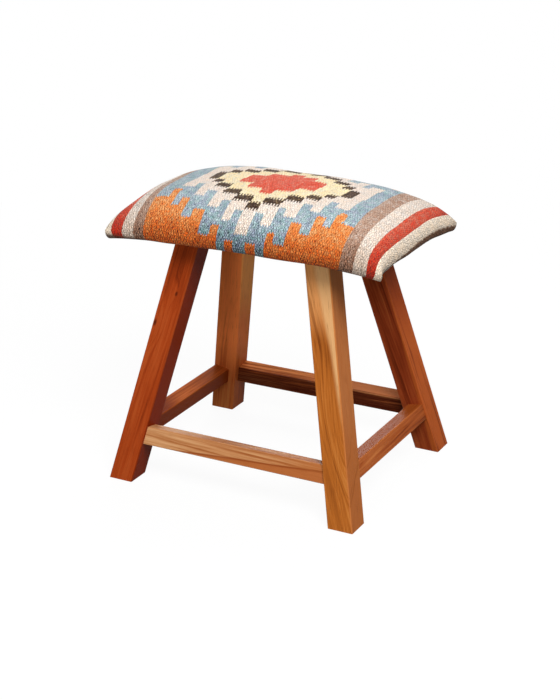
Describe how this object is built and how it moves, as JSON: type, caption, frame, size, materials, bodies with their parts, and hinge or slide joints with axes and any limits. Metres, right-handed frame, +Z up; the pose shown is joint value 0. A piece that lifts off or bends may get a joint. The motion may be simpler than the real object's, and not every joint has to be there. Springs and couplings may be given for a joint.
{
  "type": "kilim stool",
  "caption": "Wooden stool with splayed square legs joined by low stretchers and a domed seat upholstered in a flat-woven kilim with a stepped medallion.",
  "frame": {"origin": "on the floor under the middle of the seat", "axes": "+Z up, +X along the seat's length, -Y towards the front"},
  "size_m": [0.441, 0.353, 0.455],
  "materials": {
    "leg_wood": "satin oiled hardwood",
    "stretcher_wood": "satin oiled hardwood",
    "plywood": "bare plywood",
    "screw_steel": "zinc plated",
    "foam": "open-cell foam",
    "wadding": "fluffy wadding",
    "kilim": "coarse flat-woven wool and cotton",
    "lining": "thin matt lining cloth"
  },
  "bodies": {
    "root": {"leg_front_left": "leg_wood", "leg_front_right": "leg_wood", "leg_back_left": "leg_wood", "leg_back_right": "leg_wood", "stretcher_front": "stretcher_wood", "stretcher_back": "stretcher_wood", "stretcher_left": "stretcher_wood", "stretcher_right": "stretcher_wood", "seat_board": "plywood", "leg_screws": "screw_steel", "foam_pad": "foam", "wadding": "wadding", "kilim_cover": "kilim", "underside_lining": "lining"}
  },
  "joints": []
}
